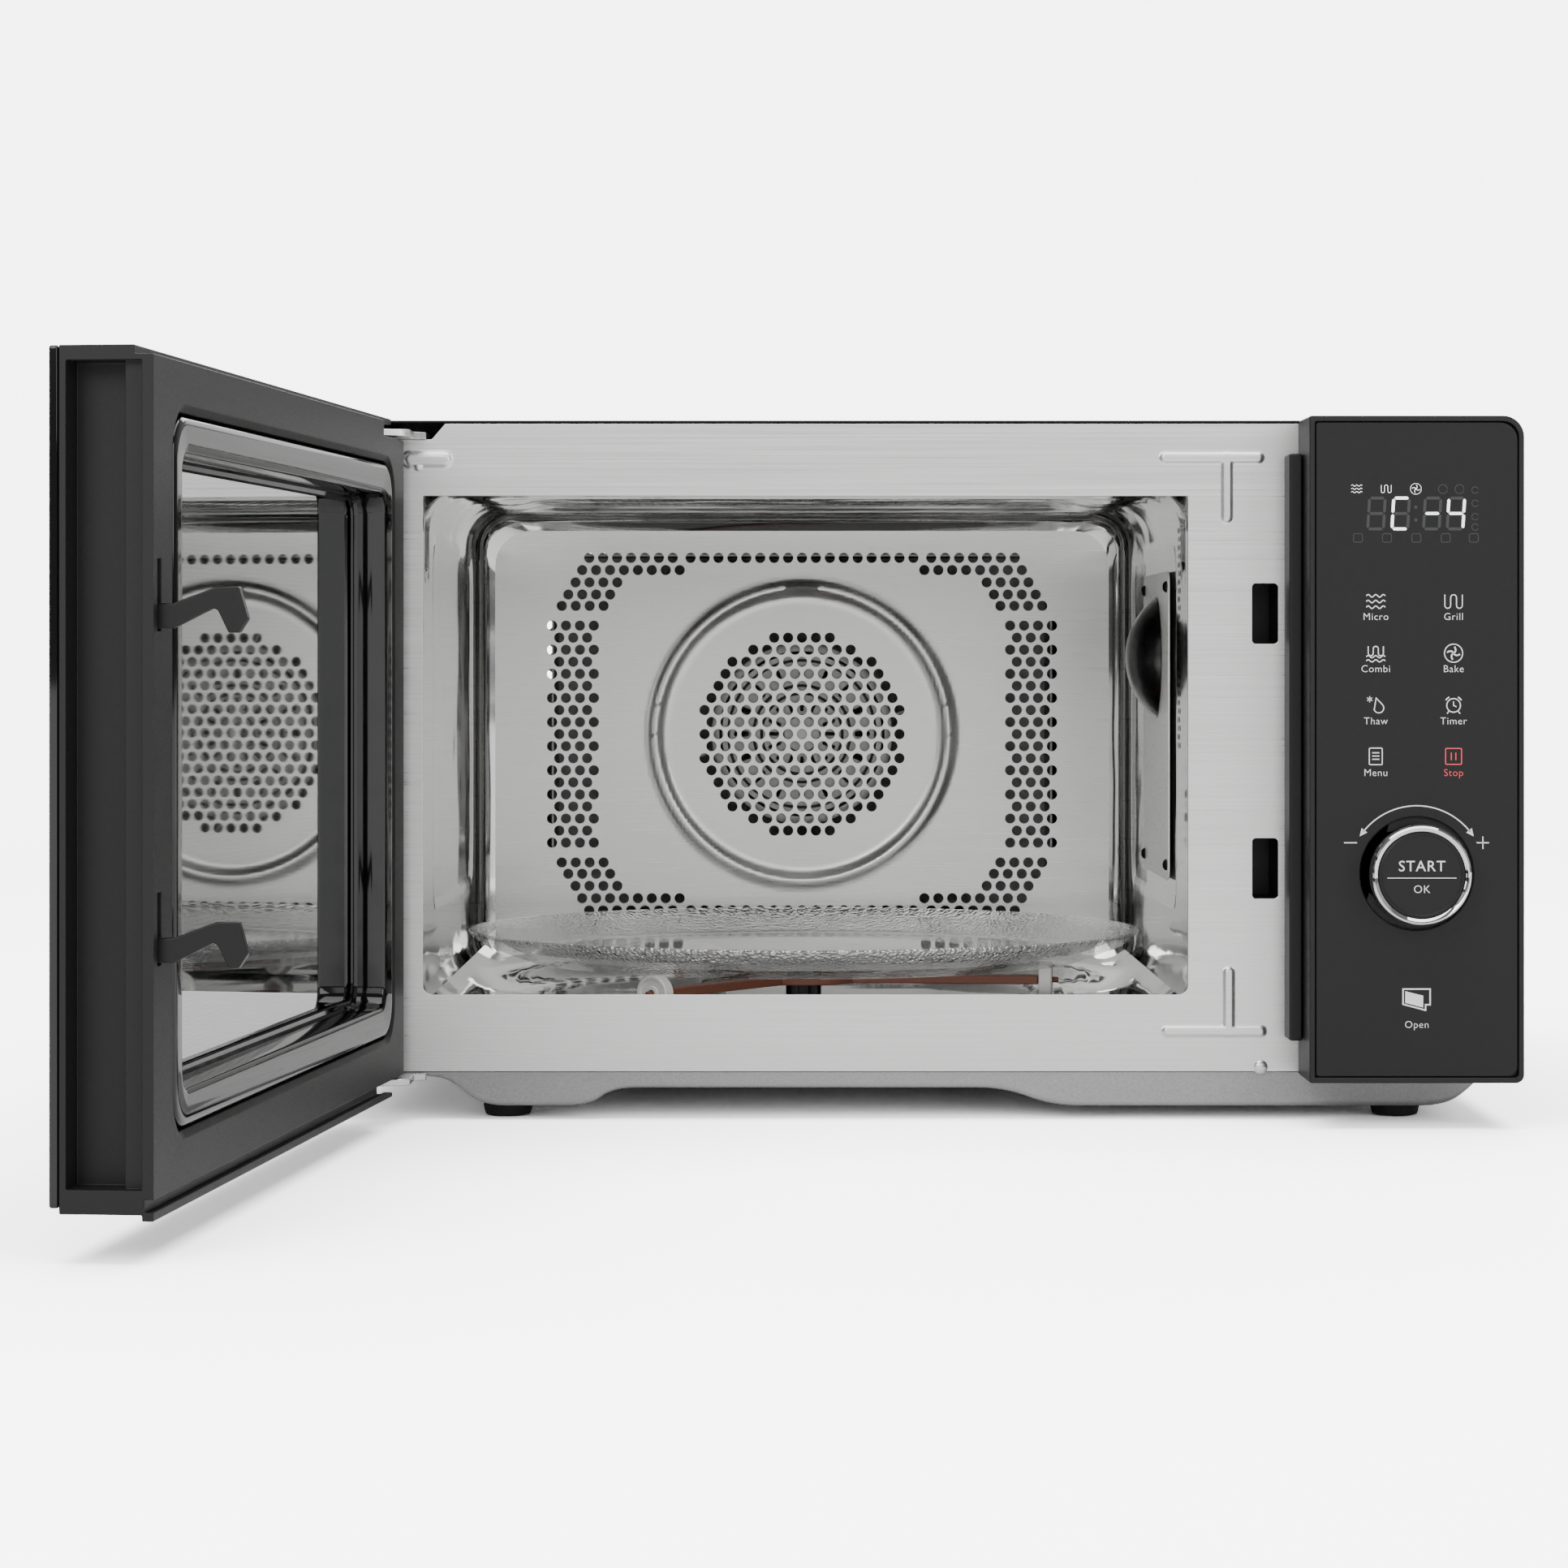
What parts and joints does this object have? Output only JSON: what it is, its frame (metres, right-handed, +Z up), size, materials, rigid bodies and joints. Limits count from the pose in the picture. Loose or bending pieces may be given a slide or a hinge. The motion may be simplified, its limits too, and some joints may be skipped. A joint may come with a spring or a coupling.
{
  "type": "microwave oven",
  "caption": "Countertop microwave oven with grill and convection fan, side-hinged door standing open, glass turntable, control panel with a chrome-ringed knob.",
  "frame": {"origin": "centre of the whole object's footprint, door standing open as stored, on the surface it stands on", "axes": "+X to the right seen from the front, +Y from the front to the back, +Z up"},
  "size_m": [0.553, 0.8288, 0.3012],
  "materials": {
    "black_painted_steel": "satin",
    "brushed_stainless": "brushed",
    "galvanised_steel": "satin, fine speckle",
    "polished_stainless": "polished",
    "black_rubber": "matt",
    "mica_sheet": "matt",
    "dark_polished_steel": "polished",
    "black_sheath_steel": "satin",
    "lamp_glass": "clear",
    "black_plastic": "matt",
    "charcoal_plastic": "matt, fine texture",
    "clear_glass": "clear",
    "white_nylon": "satin",
    "brown_plastic": "satin",
    "motor_steel": "satin",
    "fin_aluminium": "satin",
    "steel_laminations": "matt",
    "gloss_black_plastic": "gloss",
    "smoked_glass": "gloss",
    "mirror_film_glass": "half-mirror",
    "chrome_plate": "polished",
    "circuit_board": "satin",
    "spring_steel": "satin",
    "zinc_plated_steel": "satin"
  },
  "bodies": {
    "cabinet": {"outer_cabinet": "black_painted_steel", "front_plate": "brushed_stainless", "rear_panel": "galvanised_steel", "cord_gland": "black_rubber", "base_pan": "galvanised_steel", "foot_front_left": "black_rubber", "foot_front_right": "black_rubber", "foot_rear_left": "black_rubber", "foot_rear_right": "black_rubber", "cavity_liner": "polished_stainless", "cavity_back_wall": "polished_stainless", "waveguide_cover": "mica_sheet", "stirrer_dome": "dark_polished_steel", "ceiling_grille": "polished_stainless", "grill_heater": "black_sheath_steel", "cavity_lamp": "lamp_glass", "turntable_motor": "motor_steel", "convection_duct": "galvanised_steel", "convection_heater": "black_sheath_steel", "convection_motor": "motor_steel", "waveguide": "galvanised_steel", "magnetron_yoke": "zinc_plated_steel", "magnetron_tube": "zinc_plated_steel", "magnetron_fins": "fin_aluminium", "hv_transformer": "steel_laminations", "hv_capacitor": "fin_aluminium", "hv_diode": "black_plastic", "cooling_fan_shroud": "black_plastic", "cooling_fan_motor": "steel_laminations", "latch_housing": "black_plastic", "primary_switch": "black_plastic", "monitor_switch": "black_plastic", "secondary_switch": "black_plastic", "release_solenoid": "motor_steel", "panel_housing": "charcoal_plastic", "panel_face": "gloss_black_plastic", "bumper_strip": "charcoal_plastic", "rotary_encoder": "black_plastic", "control_board": "circuit_board", "display_module": "black_plastic", "upper_hinge": "zinc_plated_steel", "lower_hinge": "zinc_plated_steel"},
    "door": {"door_frame": "charcoal_plastic", "door_front_glass": "smoked_glass", "door_choke_cover": "gloss_black_plastic", "door_inner_glass": "mirror_film_glass", "door_screen": "polished_stainless", "latch_spring": "spring_steel"},
    "latch": {"latch_hooks": "black_plastic"},
    "turntable_drive": {"turntable_coupler": "black_plastic"},
    "tray": {"glass_tray": "clear_glass"},
    "spider": {"roller_spider": "brown_plastic"},
    "wheel_1": {"roller_wheel_1": "white_nylon"},
    "wheel_2": {"roller_wheel_2": "white_nylon"},
    "wheel_3": {"roller_wheel_3": "white_nylon"},
    "convection_blower": {"convection_fan": "fin_aluminium"},
    "cooling_blower": {"cooling_fan_rotor": "black_plastic"},
    "knob": {"knob_ring": "chrome_plate"},
    "confirm": {"confirm_button": "gloss_black_plastic"},
    "plunger": {"release_plunger": "zinc_plated_steel"}
  },
  "joints": [
    {"name": "door_hinge", "type": "hinge", "parent": "cabinet", "child": "door", "pos_m": [-0.21969, -0.01642, 0.15], "axis": [0, 0, 1], "range_deg": [-14, 96.16]},
    {"name": "latch_lift", "type": "slide", "parent": "door", "child": "latch", "axis": [0, 0, 1], "range_m": [0, 0.005], "stiffness_N_per_m": 300, "springref_m": -0.006, "deforming": ["latch_spring"]},
    {"name": "turntable_spin", "type": "hinge", "parent": "cabinet", "child": "turntable_drive", "pos_m": [-0.02644, 0.17018, 0.045], "axis": [0, 0, 1], "continuous": true},
    {"name": "tray_lift", "type": "slide", "parent": "turntable_drive", "child": "tray", "axis": [0, 0, 1], "range_m": [0, 0.05]},
    {"name": "spider_spin", "type": "hinge", "parent": "cabinet", "child": "spider", "pos_m": [-0.02644, 0.17018, 0.0484], "axis": [0, 0, 1], "continuous": true},
    {"name": "wheel_1_spin", "type": "hinge", "parent": "spider", "child": "wheel_1", "pos_m": [0.08694, 0.15826, 0.0484], "axis": [0.9945, -0.1045, 0], "continuous": true},
    {"name": "wheel_2_spin", "type": "hinge", "parent": "spider", "child": "wheel_2", "pos_m": [-0.0728, 0.27432, 0.0484], "axis": [-0.4067, 0.9135, 0], "continuous": true},
    {"name": "wheel_3_spin", "type": "hinge", "parent": "spider", "child": "wheel_3", "pos_m": [-0.09345, 0.07795, 0.0484], "axis": [-0.5878, -0.809, 0], "continuous": true},
    {"name": "convection_fan_spin", "type": "hinge", "parent": "cabinet", "child": "convection_blower", "pos_m": [-0.02644, 0.35678, 0.1602], "axis": [0, 1, 0], "continuous": true},
    {"name": "cooling_fan_spin", "type": "hinge", "parent": "cabinet", "child": "cooling_blower", "pos_m": [0.21571, 0.37678, 0.1882], "axis": [0, 1, 0], "continuous": true},
    {"name": "knob_turn", "type": "hinge", "parent": "cabinet", "child": "knob", "pos_m": [0.23111, -0.03822, 0.1079], "axis": [0, -1, 0], "continuous": true},
    {"name": "confirm_press", "type": "slide", "parent": "cabinet", "child": "confirm", "axis": [0, 1, 0], "range_m": [0, 0.0015], "stiffness_N_per_m": 1500, "springref_m": -0.001},
    {"name": "plunger_pull", "type": "slide", "parent": "cabinet", "child": "plunger", "axis": [0, 0, 1], "range_m": [0, 0.006], "stiffness_N_per_m": 200, "springref_m": -0.004}
  ],
  "couplings": [
    {"joint": "spider_spin", "follows": "turntable_spin", "ratio": 0.5},
    {"joint": "wheel_1_spin", "follows": "turntable_spin", "ratio": -6.7059},
    {"joint": "wheel_2_spin", "follows": "turntable_spin", "ratio": -6.7059},
    {"joint": "wheel_3_spin", "follows": "turntable_spin", "ratio": -6.7059}
  ]
}
